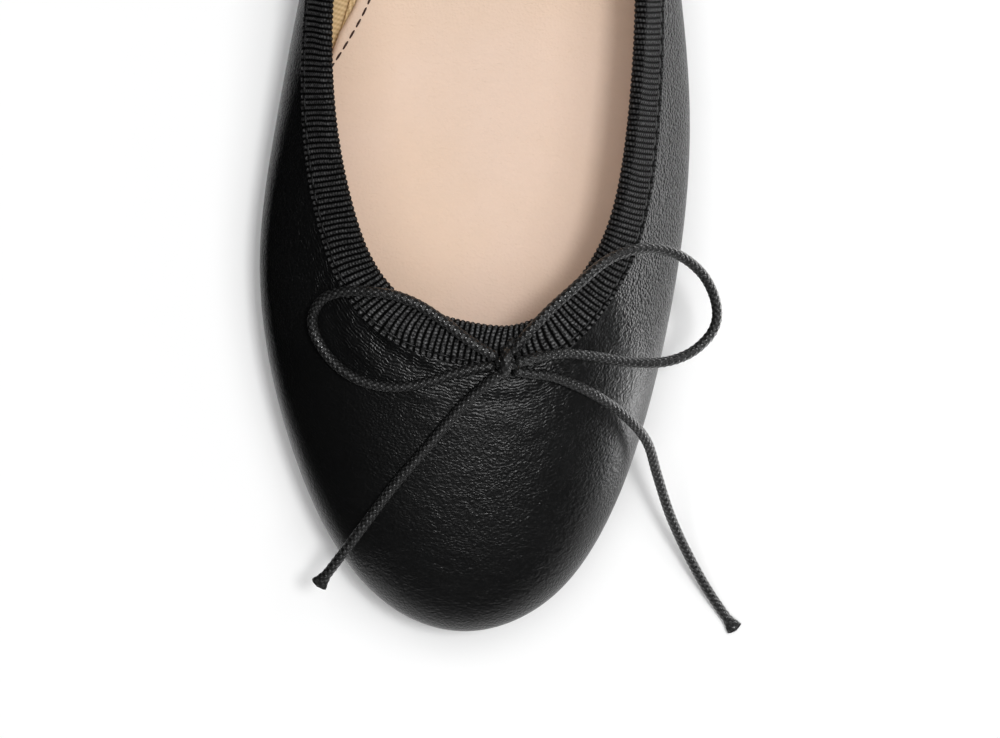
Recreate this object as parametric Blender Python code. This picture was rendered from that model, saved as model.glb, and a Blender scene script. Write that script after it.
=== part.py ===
"""Ballet flat for the left foot: lasted upper, bound topline, insole, outsole, low heel and cord bow.

The toe points to -Y, the outer side of the foot is +X, and the shoe stands on Z = 0.
"""

import math
from collections import namedtuple

import bmesh
import bpy
import numpy as np

# Sizes of the last and of the upper, in metres
LENGTH = 0.248
BALL_WIDTH = 0.0835
HEEL_WIDTH = 0.0607
THROAT_HEIGHT = 0.037
SIDE_HEIGHT = 0.0345
BACK_HEIGHT = 0.058
WIDEST_RISE = 0.010
FEATHER_INSET = 0.005
LASTING_MARGIN = 0.007
WALL = 0.0016
EDGE_WALL = 0.0011

# Sizes of the bottom
HEEL_HEIGHT = 0.008
TOE_SPRING = 0.006
SOLE_THICKNESS = 0.0028
SOLE_LIP = 0.0015
SOLE_CHAMFER = 0.0006
HEEL_LENGTH = 0.062
HEEL_TAPER = 0.0012
INSOLE_THICKNESS = 0.0025
INSOLE_FLARE = 0.0012

# Sizes of the topline binding and of the bow
BINDING_WIDTH = 0.0074
BINDING_TURN = 0.0016
RIBBON = 0.0006
CORD_DIAMETER = 0.0020
KNOT_WIDTH = 0.0034
KNOT_LENGTH = 0.0034
KNOT_DEPTH = 0.0030
CLEARANCE = 0.0003

# How finely the pieces are divided
STATIONS = 88
UNDER_RINGS = 2
LOWER_RINGS = 5
UPPER_RINGS = 9
PLATE_ROWS = 36
HEEL_ROWS = 12
KNOT_SEGMENTS = 14
KNOT_RINGS = 9
ROUTE_STEP = 3.0 * CORD_DIAMETER
OUTLINE_SAMPLES = 720

# Where the sole's curve changes, as shares of the length from the toe
TREAD_FRONT = 0.21
TREAD_BACK = 0.42
SEAT_FRONT = 0.72

# The ribs of the upper, from the toe round the outer side to the heel and back along the inner side.
# along and across place the widest outline: a share of the length from the toe, and of half the local width.
# top_along and top_across place the topline in the same way. rise and inset are shares of WIDEST_RISE and
# FEATHER_INSET. lean is the wall's slope at the topline, in degrees from level.
Rib = namedtuple("Rib", "along across top_along top_across rise inset lean")
RIBS = (
    Rib(0.000, -0.045, 0.2343, 0.034, 0.75, 1.00, 12),
    Rib(0.0235, 0.335, 0.2353, 0.161, 0.78, 1.00, 13),
    Rib(0.080, 0.600, 0.2458, 0.302, 0.85, 1.00, 17),
    Rib(0.157, 0.782, 0.2691, 0.440, 0.92, 1.00, 25),
    Rib(0.250, 0.913, 0.3039, 0.570, 0.98, 1.00, 37),
    Rib(0.337, 0.987, 0.3540, 0.656, 1.00, 1.00, 48),
    Rib(0.415, 1.000, 0.4185, 0.707, 1.05, 1.05, 56),
    Rib(0.492, 0.966, 0.4879, 0.736, 1.10, 1.25, 62),
    Rib(0.597, 0.941, 0.5933, 0.775, 1.15, 1.60, 68),
    Rib(0.718, 0.975, 0.7143, 0.827, 1.05, 1.20, 74),
    Rib(0.831, 1.040, 0.8231, 0.853, 0.95, 1.00, 77),
    Rib(0.911, 0.967, 0.8956, 0.784, 0.90, 0.90, 79),
    Rib(0.976, 0.610, 0.9596, 0.500, 0.90, 0.85, 81),
    Rib(1.000, 0.066, 0.9821, 0.066, 0.90, 0.85, 82),
    Rib(0.976, -0.479, 0.9596, -0.368, 0.90, 0.85, 81),
    Rib(0.914, -0.858, 0.8998, -0.671, 0.90, 0.90, 79),
    Rib(0.835, -0.947, 0.8272, -0.769, 0.95, 1.00, 77),
    Rib(0.734, -0.872, 0.7301, -0.751, 1.05, 1.40, 75),
    Rib(0.617, -0.776, 0.6134, -0.698, 1.15, 1.95, 73),
    Rib(0.494, -0.824, 0.4903, -0.715, 1.12, 2.05, 66),
    Rib(0.383, -0.939, 0.3903, -0.692, 1.05, 1.20, 55),
    Rib(0.294, -1.000, 0.3296, -0.620, 1.00, 1.00, 43),
    Rib(0.211, -0.958, 0.2846, -0.520, 0.96, 1.00, 32),
    Rib(0.1355, -0.838, 0.2566, -0.381, 0.90, 1.00, 22),
    Rib(0.061, -0.628, 0.2438, -0.229, 0.83, 1.00, 16),
    Rib(0.014, -0.347, 0.2376, -0.091, 0.78, 1.00, 13),
)

# Routes of the bow's cord, point by point as it lies, in metres
KNOT_AT = (0.0039, -0.0722, 0.0384)
MEDIAL_LOOP = (
    (0.0023, -0.0713, 0.0396),
    (-0.0029, -0.0681, 0.0398),
    (-0.0075, -0.0646, 0.0398),
    (-0.0124, -0.0614, 0.0397),
    (-0.0170, -0.0596, 0.0393),
    (-0.0218, -0.0589, 0.0381),
    (-0.0263, -0.0589, 0.0362),
    (-0.0300, -0.0602, 0.0338),
    (-0.0318, -0.0631, 0.0318),
    (-0.0316, -0.0664, 0.0307),
    (-0.0293, -0.0705, 0.0306),
    (-0.0257, -0.0740, 0.0316),
    (-0.0211, -0.0761, 0.0329),
    (-0.0162, -0.0767, 0.0342),
    (-0.0110, -0.0759, 0.0354),
    (-0.0051, -0.0740, 0.0367),
    (-0.0010, -0.0731, 0.0375),
    (0.0020, -0.0727, 0.0381),
)
LATERAL_LOOP = (
    (0.0051, -0.0706, 0.0386),
    (0.0067, -0.0681, 0.0394),
    (0.0114, -0.0629, 0.0401),
    (0.0160, -0.0587, 0.0403),
    (0.0221, -0.0535, 0.0398),
    (0.0272, -0.0512, 0.0385),
    (0.0321, -0.0506, 0.0365),
    (0.0370, -0.0518, 0.0341),
    (0.0415, -0.0549, 0.0317),
    (0.0442, -0.0590, 0.0299),
    (0.0451, -0.0633, 0.0287),
    (0.0438, -0.0669, 0.0281),
    (0.0399, -0.0703, 0.0284),
    (0.0346, -0.0720, 0.0295),
    (0.0284, -0.0720, 0.0312),
    (0.0221, -0.0711, 0.0337),
    (0.0158, -0.0704, 0.0365),
    (0.0105, -0.0710, 0.0387),
    (0.0057, -0.0722, 0.0398),
)
MEDIAL_TAIL = (
    (0.0030, -0.0741, 0.0394),
    (0.0009, -0.0756, 0.0385),
    (-0.0020, -0.0782, 0.0370),
    (-0.0050, -0.0813, 0.0357),
    (-0.0109, -0.0885, 0.0332),
    (-0.0166, -0.0953, 0.0305),
    (-0.0224, -0.1033, 0.0269),
    (-0.0268, -0.1094, 0.0239),
    (-0.0306, -0.1145, 0.0215),
)
LATERAL_TAIL = (
    (0.0053, -0.0736, 0.0380),
    (0.0088, -0.0742, 0.0375),
    (0.0129, -0.0747, 0.0364),
    (0.0191, -0.0771, 0.0338),
    (0.0242, -0.0799, 0.0307),
    (0.0288, -0.0833, 0.0273),
    (0.0325, -0.0876, 0.0231),
    (0.0350, -0.0937, 0.0177),
    (0.0381, -0.1014, 0.0123),
    (0.0417, -0.1084, 0.0077),
    (0.0460, -0.1157, 0.0040),
    (0.0495, -0.1208, 0.0020),
    (0.0528, -0.1252, 0.0012),
)


def clear_scene():
    for obj in list(bpy.data.objects):
        bpy.data.objects.remove(obj, do_unlink=True)


def ease(value, start, end):
    """0 before start, 1 after end and a smooth S between them."""
    share = np.clip((value - start) / (end - start), 0.0, 1.0)
    return share * share * (3.0 - 2.0 * share)


def half_width(along):
    """Half the last's width that the shares across are taken of, which goes over from ball to heel."""
    return 0.5 * (BALL_WIDTH + (HEEL_WIDTH - BALL_WIDTH) * ease(along, 0.45, 0.85))


def sole_underside(along):
    """Height of the outsole's underside: toe spring, level tread, arch and level heel seat."""
    spring = TOE_SPRING * np.clip(1.0 - along / TREAD_FRONT, 0.0, 1.0) ** 2
    return spring + HEEL_HEIGHT * ease(along, TREAD_BACK, SEAT_FRONT)


def feather_height(along):
    """Height of the line where the upper turns under, just above the outsole."""
    return sole_underside(along) + SOLE_THICKNESS + CLEARANCE


def topline_height(along):
    front = 1.0 - ease(along, 0.23, 0.46)
    back = ease(along, 0.52, 1.02)
    return SIDE_HEIGHT + (THROAT_HEIGHT - SIDE_HEIGHT) * front + (BACK_HEIGHT - SIDE_HEIGHT) * back


def closed_spline(knots, period, values, at):
    """Smooth closed curve of the values at the knots, read at the places asked for."""
    count = len(knots)
    step = np.diff(np.append(knots, period))
    ahead = (np.arange(count) + 1) % count
    behind = (np.arange(count) - 1) % count
    slope = (values[ahead] - values) / step
    system = np.zeros((count, count))
    system[np.arange(count), np.arange(count)] = 2.0 * (step + step[behind])
    system[np.arange(count), ahead] += step
    system[np.arange(count), behind] += step[behind]
    bend = np.linalg.solve(system, 6.0 * (slope - slope[behind]))
    at = np.mod(at, period)
    row = np.searchsorted(knots, at, side="right") - 1
    past = at - knots[row]
    left = step[row] - past
    curved = (bend[row] * left**3 + bend[ahead[row]] * past**3) / (6.0 * step[row])
    start = (values[row] / step[row] - bend[row] * step[row] / 6.0) * left
    end = (values[ahead[row]] / step[row] - bend[ahead[row]] * step[row] / 6.0) * past
    return curved + start + end


def rib_columns():
    """The table's columns in metres and radians, with the distance round the outline as their knots."""
    table = {name: np.array([getattr(rib, name) for rib in RIBS], float) for name in Rib._fields}
    columns = {
        "x": table["across"] * half_width(table["along"]),
        "y": table["along"] * LENGTH,
        "top_x": table["top_across"] * half_width(table["top_along"]),
        "top_y": table["top_along"] * LENGTH,
        "rise": table["rise"] * WIDEST_RISE,
        "inset": table["inset"] * FEATHER_INSET,
        "lean": np.radians(table["lean"]),
    }
    dx = np.diff(np.append(columns["x"], columns["x"][0]))
    dy = np.diff(np.append(columns["y"], columns["y"][0]))
    round_trip = np.cumsum(np.hypot(dx, dy))
    return columns, np.append(0.0, round_trip[:-1]), round_trip[-1]


def ribs_at(count):
    """Every column of the rib table at evenly spaced stations round the shoe, with the inward direction."""
    columns, knots, period = rib_columns()
    places = np.arange(count) * period / count
    rib = {name: closed_spline(knots, period, column, places) for name, column in columns.items()}
    nudge = 0.25 * period / count
    dx = closed_spline(knots, period, columns["x"], places + nudge)
    dx -= closed_spline(knots, period, columns["x"], places - nudge)
    dy = closed_spline(knots, period, columns["y"], places + nudge)
    dy -= closed_spline(knots, period, columns["y"], places - nudge)
    size = np.hypot(dx, dy)
    rib["in_x"] = -dy / size
    rib["in_y"] = dx / size
    return rib


def outline_centre():
    """Middle of the widest outline, which is where the shoe's origin lies."""
    rib = ribs_at(OUTLINE_SAMPLES)
    return 0.5 * (rib["x"].min() + rib["x"].max()), 0.5 * (rib["y"].min() + rib["y"].max())


CENTRE_X, CENTRE_Y = outline_centre()


def placed(x, y, z):
    """Points of the last's own frame, moved to the shoe's origin."""
    return np.stack([x - CENTRE_X, y - CENTRE_Y, z + 0.0 * x], axis=-1)


def bezier(a, b, c, d, t):
    return (1 - t) ** 3 * a + 3 * (1 - t) ** 2 * t * b + 3 * (1 - t) * t**2 * c + t**3 * d


def under_ring(rib, share):
    """Ring of the turned-under margin: share 1 is its free edge and 0 the feather line."""
    inset = rib["inset"] + share * LASTING_MARGIN
    x = rib["x"] + rib["in_x"] * inset
    y = rib["y"] + rib["in_y"] * inset
    return placed(x, y, feather_height(y / LENGTH))


def widest_height(rib):
    return feather_height(rib["y"] / LENGTH) + rib["rise"]


def lower_ring(rib, share):
    """Ring of the round wall between the feather line, share 0, and the widest outline, share 1."""
    floor = feather_height((rib["y"] + rib["in_y"] * rib["inset"]) / LENGTH)
    top = widest_height(rib)
    inset = bezier(rib["inset"], 0.45 * rib["inset"], 0.0, 0.0, share)
    z = bezier(floor, floor, top - 0.55 * (top - floor), top, share)
    return placed(rib["x"] + rib["in_x"] * inset, rib["y"] + rib["in_y"] * inset, z)


def upper_ring(rib, share):
    """Ring of the wall between the widest outline, share 0, and the topline, share 1."""
    run_x = rib["top_x"] - rib["x"]
    run_y = rib["top_y"] - rib["y"]
    run = np.hypot(run_x, run_y)
    foot = widest_height(rib)
    top = topline_height(rib["top_y"] / LENGTH)
    reach = 0.45 * np.hypot(run, top - foot)
    across = bezier(0.0, 0.0, run - reach * np.cos(rib["lean"]), run, share)
    z = bezier(foot, foot + 0.5 * (top - foot), top - reach * np.sin(rib["lean"]), top, share)
    return placed(rib["x"] + run_x * across / run, rib["y"] + run_y * across / run, z)


def unit(vectors):
    return vectors / np.linalg.norm(vectors, axis=-1, keepdims=True)


def topline_frame(rib):
    """At the topline of each station: the point, the way on past the edge and the outward normal."""
    edge = upper_ring(rib, 1.0)
    onward = unit(edge - upper_ring(rib, 0.98))
    along = unit(np.roll(edge, -1, axis=0) - np.roll(edge, 1, axis=0))
    return edge, onward, unit(np.cross(along, onward))


def below_topline(rib, distance):
    """Outer surface at a distance down from the topline, with its outward normal."""
    shares = np.linspace(0.0, 1.0, 81)
    points = np.stack([upper_ring(rib, share) for share in shares])
    steps = np.linalg.norm(np.diff(points, axis=0), axis=-1)
    down = np.concatenate([np.cumsum(steps[::-1], axis=0)[::-1], np.zeros((1, steps.shape[1]))])
    found = np.empty((steps.shape[1], 3))
    ahead = np.empty_like(found)
    for station in range(steps.shape[1]):
        for axis in range(3):
            column = points[::-1, station, axis]
            found[station, axis] = np.interp(distance, down[::-1, station], column)
            ahead[station, axis] = np.interp(distance + 0.0005, down[::-1, station], column)
    along = unit(np.roll(found, -1, axis=0) - np.roll(found, 1, axis=0))
    return found, unit(np.cross(along, found - ahead))


def material(name, colour, roughness, metallic=0.0):
    made = bpy.data.materials.new(name)
    made.use_nodes = True
    shader = made.node_tree.nodes["Principled BSDF"]
    shader.inputs["Base Color"].default_value = (*colour, 1.0)
    shader.inputs["Roughness"].default_value = roughness
    shader.inputs["Metallic"].default_value = metallic
    return made


def object_from(name, bm, finish, sharp_degrees=40.0):
    mesh = bpy.data.meshes.new(name)
    bm.to_mesh(mesh)
    bm.free()
    mesh.materials.append(finish)
    mesh.shade_smooth()
    mesh.set_sharp_from_angle(angle=math.radians(sharp_degrees))
    obj = bpy.data.objects.new(name, mesh)
    bpy.context.scene.collection.objects.link(obj)
    return obj


def add_rings(bm, rings):
    return [[bm.verts.new(point) for point in ring] for ring in rings]


def skin(bm, rows, round_section, round_rows):
    """Faces between neighbouring rows of vertices, closed on themselves where asked."""
    row_pairs = len(rows) if round_rows else len(rows) - 1
    for i in range(row_pairs):
        first, second = rows[i], rows[(i + 1) % len(rows)]
        width = len(first) if round_section else len(first) - 1
        for k in range(width):
            n = (k + 1) % len(first)
            bm.faces.new((first[k], first[n], second[n], second[k]))


def make_upper(finish):
    """The leather shell with its lining: one wall from the turned-under margin to the topline."""
    rib = ribs_at(STATIONS)
    rings = [under_ring(rib, 1.0 - k / UNDER_RINGS) for k in range(UNDER_RINGS)]
    rings += [lower_ring(rib, k / LOWER_RINGS) for k in range(LOWER_RINGS)]
    rings += [upper_ring(rib, k / UPPER_RINGS) for k in range(UPPER_RINGS + 1)]
    bm = bmesh.new()
    rows = add_rings(bm, rings)
    skin(bm, rows, round_section=True, round_rows=False)
    upper = object_from("upper", bm, finish)
    group = upper.vertex_groups.new(name="wall")
    group.add(list(range(len(upper.data.vertices))), 1.0, "REPLACE")
    group.add(list(range(STATIONS * (len(rings) - 1), STATIONS * len(rings))), EDGE_WALL / WALL, "REPLACE")
    wall = upper.modifiers.new("wall", "SOLIDIFY")
    wall.thickness = WALL
    wall.offset = -1.0
    wall.vertex_group = "wall"
    return upper


def make_topline_binding(finish):
    """Ribbon folded over the topline: a long leg outside, a short one inside."""
    rib = ribs_at(STATIONS)
    edge, onward, normal = topline_frame(rib)
    near, far = CLEARANCE, CLEARANCE + RIBBON
    section = []
    for distance in (BINDING_WIDTH, 0.5 * BINDING_WIDTH):
        point, out = below_topline(rib, distance)
        section.append(point + out * far)
    inner, inner_out = below_topline(rib, BINDING_TURN)
    section.append(edge + normal * far)
    section.append(edge + normal * 0.4 * far + onward * far)
    section.append(edge - normal * (EDGE_WALL + 0.4 * far) + onward * far)
    section.append(edge - normal * (EDGE_WALL + far))
    section.append(inner - inner_out * (WALL + far))
    section.append(inner - inner_out * (WALL + near))
    section.append(edge - normal * (EDGE_WALL + near) + onward * near)
    section.append(edge + normal * near + onward * near)
    for distance in (0.5 * BINDING_WIDTH, BINDING_WIDTH):
        point, out = below_topline(rib, distance)
        section.append(point + out * near)
    bm = bmesh.new()
    skin(bm, add_rings(bm, section), round_section=True, round_rows=True)
    bmesh.ops.recalc_face_normals(bm, faces=bm.faces)
    return object_from("topline_binding", bm, finish)


def outline_sides(extra_inset):
    """Inner and outer x of the feather outline moved inwards, as functions of the distance from the toe."""
    rib = ribs_at(OUTLINE_SAMPLES)
    inset = rib["inset"] + extra_inset
    x = rib["x"] + rib["in_x"] * inset
    y = rib["y"] + rib["in_y"] * inset
    toe, back = int(np.argmin(y)), int(np.argmax(y))
    outer = np.arange(toe, back + 1)
    inner = np.arange(back, toe + OUTLINE_SAMPLES + 1) % OUTLINE_SAMPLES
    return x, y, outer, inner


def plate_rows(extra_inset, start, count):
    """Rows across a plate from start to the heel end: y, inner x and outer x, closer together at round ends."""
    x, y, outer, inner = outline_sides(extra_inset)
    low, high = max(start, y.min()), y.max()
    turn = np.linspace(0.0, math.pi, count + 2)[1:-1]
    if start > y.min():
        turn = np.linspace(0.5 * math.pi, math.pi, count + 1)[:-1]
        rows = low + (high - low) * -np.cos(turn)
    else:
        rows = low + (high - low) * 0.5 * (1.0 - np.cos(turn))
    inner_x = np.interp(rows, y[inner][::-1], x[inner][::-1])
    outer_x = np.interp(rows, y[outer], x[outer])
    return rows, inner_x, outer_x


def make_plate(name, finish, rows, section):
    """Closed plate from a section of (x, z) arrays for each row across it."""
    bm = bmesh.new()
    rings = [placed(x, rows, z) for x, z in section]
    columns = add_rings(bm, rings)
    skin(bm, columns, round_section=False, round_rows=True)
    bm.faces.new([column[0] for column in columns])
    bm.faces.new([column[-1] for column in columns])
    bmesh.ops.recalc_face_normals(bm, faces=bm.faces)
    return object_from(name, bm, finish)


def make_outsole(finish):
    """Thin sole with chamfered edges, toe spring and arch."""
    rows, inner_x, outer_x = plate_rows(-SOLE_LIP, 0.0, PLATE_ROWS)
    under = sole_underside(rows / LENGTH)
    top = under + SOLE_THICKNESS
    cut = np.minimum(SOLE_CHAMFER, 0.2 * (outer_x - inner_x))
    section = [
        (inner_x + cut, under),
        (inner_x, under + SOLE_CHAMFER),
        (inner_x, top - 0.5 * SOLE_CHAMFER),
        (inner_x + 0.5 * cut, top),
        (outer_x - 0.5 * cut, top),
        (outer_x, top - 0.5 * SOLE_CHAMFER),
        (outer_x, under + SOLE_CHAMFER),
        (outer_x - cut, under),
    ]
    return make_plate("outsole", finish, rows, section)


def make_insole(finish):
    """Sock and insole on the turned-under margin, its edge spreading against the wall."""
    rows, inner_x, outer_x = plate_rows(CLEARANCE, 0.0, PLATE_ROWS)
    floor = feather_height(rows / LENGTH) + WALL + CLEARANCE
    top = floor + INSOLE_THICKNESS
    section = [
        (inner_x, floor),
        (inner_x - INSOLE_FLARE, top),
        (outer_x + INSOLE_FLARE, top),
        (outer_x, floor),
    ]
    return make_plate("insole", finish, rows, section)


def make_heel(finish):
    """Low block under the heel seat, a little narrower at the floor."""
    start = LENGTH - HEEL_LENGTH
    rows, inner_x, outer_x = plate_rows(0.0, start, HEEL_ROWS)
    seat = HEEL_HEIGHT * np.ones_like(rows) - CLEARANCE
    taper = np.minimum(HEEL_TAPER, 0.2 * (outer_x - inner_x))
    section = [
        (inner_x + taper, np.zeros_like(rows)),
        (inner_x, seat),
        (outer_x, seat),
        (outer_x - taper, np.zeros_like(rows)),
    ]
    return make_plate("heel", finish, rows, section)


def smooth_route(points, step):
    """Evenly spaced points on a smooth curve through a route's own points."""
    route = np.array(points, float)
    padded = np.vstack([2 * route[0] - route[1], route, 2 * route[-1] - route[-2]])
    fine = []
    for a, b, c, d in zip(padded, padded[1:], padded[2:], padded[3:]):
        for t in np.linspace(0.0, 1.0, 12, endpoint=False):
            pull = (c - a) * t + (2 * a - 5 * b + 4 * c - d) * t**2 + (3 * b - a - 3 * c + d) * t**3
            fine.append(b + 0.5 * pull)
    fine = np.array([*fine, route[-1]])
    walked = np.append(0.0, np.cumsum(np.linalg.norm(np.diff(fine, axis=0), axis=1)))
    places = np.linspace(0.0, walked[-1], max(3, round(walked[-1] / step) + 1))
    return np.stack([np.interp(places, walked, fine[:, axis]) for axis in range(3)], axis=-1)


def make_cord(name, finish, route):
    """Round cord along a route."""
    curve = bpy.data.curves.new(name, "CURVE")
    curve.dimensions = "3D"
    curve.bevel_depth = 0.5 * CORD_DIAMETER
    curve.bevel_resolution = 2
    curve.use_fill_caps = True
    points = smooth_route(route, ROUTE_STEP)
    spline = curve.splines.new("POLY")
    spline.points.add(len(points) - 1)
    for spot, place in zip(spline.points, points):
        spot.co = (*place, 1.0)
    curve.materials.append(finish)
    obj = bpy.data.objects.new(name, curve)
    bpy.context.scene.collection.objects.link(obj)
    return obj


def make_knot(finish):
    """The hard round knot, just outside the binding at the throat."""
    bm = bmesh.new()
    bmesh.ops.create_uvsphere(bm, u_segments=KNOT_SEGMENTS, v_segments=KNOT_RINGS, radius=0.5)
    bmesh.ops.scale(bm, vec=(KNOT_WIDTH, KNOT_LENGTH, KNOT_DEPTH), verts=bm.verts)
    knot = object_from("bow_knot", bm, finish)
    knot.location = KNOT_AT
    return knot


def main():
    clear_scene()
    leather = material("black_leather", (0.018, 0.018, 0.019), 0.42)
    grosgrain = material("black_grosgrain", (0.012, 0.012, 0.013), 0.75)
    sock = material("nude_leather", (0.80, 0.62, 0.49), 0.55)
    sole = material("black_sole", (0.02, 0.02, 0.02), 0.6)
    stack = material("black_heel", (0.015, 0.015, 0.015), 0.5)
    cord = material("waxed_cord", (0.02, 0.02, 0.021), 0.35)
    make_upper(leather)
    make_topline_binding(grosgrain)
    make_insole(sock)
    make_outsole(sole)
    make_heel(stack)
    make_knot(cord)
    make_cord("bow_loop_medial", cord, MEDIAL_LOOP)
    make_cord("bow_loop_lateral", cord, LATERAL_LOOP)
    make_cord("bow_tail_medial", cord, MEDIAL_TAIL)
    make_cord("bow_tail_lateral", cord, LATERAL_TAIL)


main()
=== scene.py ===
import math

import bpy
import numpy as np
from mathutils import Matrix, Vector


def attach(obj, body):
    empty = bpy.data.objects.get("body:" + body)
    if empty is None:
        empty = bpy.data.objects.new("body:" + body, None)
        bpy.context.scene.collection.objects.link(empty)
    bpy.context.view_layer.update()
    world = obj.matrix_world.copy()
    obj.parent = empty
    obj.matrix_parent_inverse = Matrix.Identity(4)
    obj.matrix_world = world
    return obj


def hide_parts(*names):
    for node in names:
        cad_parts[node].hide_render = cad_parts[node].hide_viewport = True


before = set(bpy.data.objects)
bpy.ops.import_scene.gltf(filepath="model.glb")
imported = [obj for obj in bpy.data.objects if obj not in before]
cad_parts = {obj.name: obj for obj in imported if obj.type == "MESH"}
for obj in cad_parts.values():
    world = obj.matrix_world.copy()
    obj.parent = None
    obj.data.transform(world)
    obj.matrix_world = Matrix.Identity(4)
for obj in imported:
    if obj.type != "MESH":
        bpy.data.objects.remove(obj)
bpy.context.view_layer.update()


# The view. The pair was photographed straight from above, from a point over the inner side of the ball.
# The camera stands there and is turned a little to bring the one shoe to the middle of the picture.
PICTURE_WIDTH_PX = 1000
PHOTO_SCALE_PX_PER_M = 5150
WIDEST_OUTLINE_Z = 0.013
CAMERA_AT = (-0.0408, -0.0733, 0.600)
SHOE_MIDDLE_PX = 235
SENSOR_MM = 36.0

focal_px = PHOTO_SCALE_PX_PER_M * (CAMERA_AT[2] - WIDEST_OUTLINE_Z)
bpy.ops.object.camera_add(location=CAMERA_AT, rotation=(0.0, -math.atan(SHOE_MIDDLE_PX / focal_px), 0.0))
camera = bpy.context.active_object
camera.data.sensor_fit = "HORIZONTAL"
camera.data.sensor_width = SENSOR_MM
camera.data.lens = SENSOR_MM * focal_px / PICTURE_WIDTH_PX
camera.data.clip_start = 0.01
bpy.context.scene.camera = camera
bpy.context.scene.view_settings.view_transform = "Standard"


# The studio. A white sweep, a broad soft ceiling, a small key lamp almost overhead and a fill beside the
# outer side. The leather shines by the key, the bright foot of the sweep and two low cards that stand
# along the shoe.
FLOOR_SIZE = 6.0
CARD_BACK = 0.21


def grey(value):
    return (value, value, value, 1.0)


bpy.ops.mesh.primitive_plane_add(size=FLOOR_SIZE, location=(0.0, 0.0, 0.0))
floor = bpy.context.active_object
floor.name = "studio_floor"
paper = bpy.data.materials.new("white_paper")
paper.use_nodes = True
inputs = paper.node_tree.nodes["Principled BSDF"].inputs
inputs["Base Color"].default_value = grey(0.93)
inputs["Roughness"].default_value = 0.9
floor.data.materials.append(paper)


def soft_box(name, at, aim, width, height, watts):
    bpy.ops.object.light_add(type="AREA", location=at)
    lamp = bpy.context.active_object
    lamp.name = name
    lamp.data.shape = "RECTANGLE"
    lamp.data.size = width
    lamp.data.size_y = height
    lamp.data.energy = watts
    lamp.rotation_euler = (Vector(aim) - Vector(at)).to_track_quat("-Z", "Y").to_euler()
    return lamp


ceiling = soft_box("ceiling", (0.0, 0.0, 1.9), (0.0, 0.0, 0.0), 1.9, 1.9, 32.5)
ceiling.visible_glossy = False
soft_box("key", (0.17, 0.0, 1.5), (0.0, 0.0, 0.0), 0.22, 0.22, 8.5)
outer_side = soft_box("outer_side", (1.1, -0.15, 0.55), (0.0, -0.05, 0.03), 1.1, 0.8, 0.8)
outer_side.visible_glossy = False

# The air of the studio: a bright band where the white sweep rises, dim above it
world = bpy.data.worlds.new("studio_air")
world.use_nodes = True
air = world.node_tree
around = air.nodes.new("ShaderNodeTexCoord")
upwards = air.nodes.new("ShaderNodeSeparateXYZ")
fade = air.nodes.new("ShaderNodeMapRange")
BRIGHT_UP_TO = 0.02
DIM_FROM = 0.12
DIM_AIR = 0.036
fade.inputs["From Min"].default_value = BRIGHT_UP_TO
fade.inputs["From Max"].default_value = DIM_FROM
fade.inputs["To Min"].default_value = 1.0
fade.inputs["To Max"].default_value = DIM_AIR
air.links.new(around.outputs["Generated"], upwards.inputs[0])
air.links.new(upwards.outputs[2], fade.inputs["Value"])
air.links.new(fade.outputs[0], air.nodes["Background"].inputs["Strength"])
air.nodes["Background"].inputs["Color"].default_value = grey(1.0)
bpy.context.scene.world = world


def stand_card(name, x, front, height, glow):
    """A card on edge along the shoe, seen by reflections alone."""
    middle = (x, 0.5 * (CARD_BACK + front), 0.5 * height)
    bpy.ops.mesh.primitive_plane_add(size=1.0, location=middle, rotation=(0.0, math.radians(90.0), 0.0))
    card = bpy.context.active_object
    card.name = name
    card.scale = (height, CARD_BACK - front, 1.0)
    paint = bpy.data.materials.new(name)
    paint.use_nodes = True
    inputs = paint.node_tree.nodes["Principled BSDF"].inputs
    inputs["Base Color"].default_value = grey(0.002)
    inputs["Roughness"].default_value = 1.0
    inputs["Emission Color"].default_value = grey(1.0)
    inputs["Emission Strength"].default_value = glow
    card.data.materials.append(paint)
    card.visible_camera = False
    card.visible_diffuse = False
    card.visible_shadow = False
    card.visible_transmission = False


# A black card where the other shoe of the pair stood and a white one along the outer side
stand_card("studio_black_card", -0.050, -0.140, 0.08, 0.0)
stand_card("studio_white_card", 0.088, -0.112, 0.019, 9.5)


# The upper. Black semi-matt nappa, cut as one sheet, lasted over a round-toed last, turned under all
# round and cemented to the sole. Each rib of the last runs from the turned edge over the widest outline
# to the topline.
LENGTH = 0.248
BALL_WIDTH = 0.0835
HEEL_WIDTH = 0.0607
THROAT_HEIGHT = 0.037
SIDE_HEIGHT = 0.0345
BACK_HEIGHT = 0.058
WIDEST_RISE = 0.010
FEATHER_INSET = 0.005
LASTING_MARGIN = 0.007
HEEL_HEIGHT = 0.008
TOE_SPRING = 0.006
SOLE_THICKNESS = 0.0028
SEAT_GAP = 0.0003
LEATHER = 0.0008
LINING = 0.0006
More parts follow.
